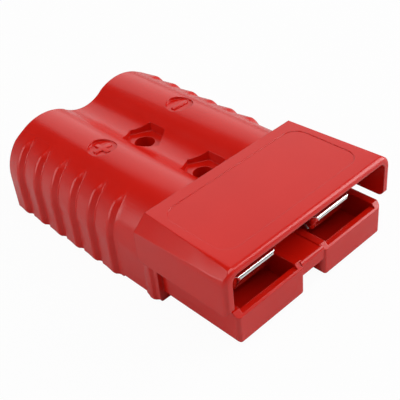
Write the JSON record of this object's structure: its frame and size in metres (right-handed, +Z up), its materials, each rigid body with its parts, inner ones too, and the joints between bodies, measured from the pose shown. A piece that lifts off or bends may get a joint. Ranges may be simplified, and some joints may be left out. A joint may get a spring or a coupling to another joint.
{
  "type": "genderless power connector",
  "caption": "Genderless power connector housing with hood, ribbed grip, crimp contacts and leaf springs for heavy battery cables.",
  "frame": {"origin": "centre of the bounding box's footprint, on the flat underside of the housing", "axes": "-Y out of the mating face, +Y out of the cable end, +X to the right of someone who looks along +Y at the mating face, +Z up through the hood's roof"},
  "size_m": [0.0546, 0.0806, 0.0226],
  "materials": {
    "housing": "moulded red polycarbonate, satin gloss",
    "contact": "silver-plated copper, bright",
    "spring": "stainless spring strip"
  },
  "bodies": {
    "root": {"housing": "housing", "contact_left": "contact", "contact_right": "contact", "leaf_spring_left": "spring", "leaf_spring_right": "spring"}
  },
  "joints": []
}
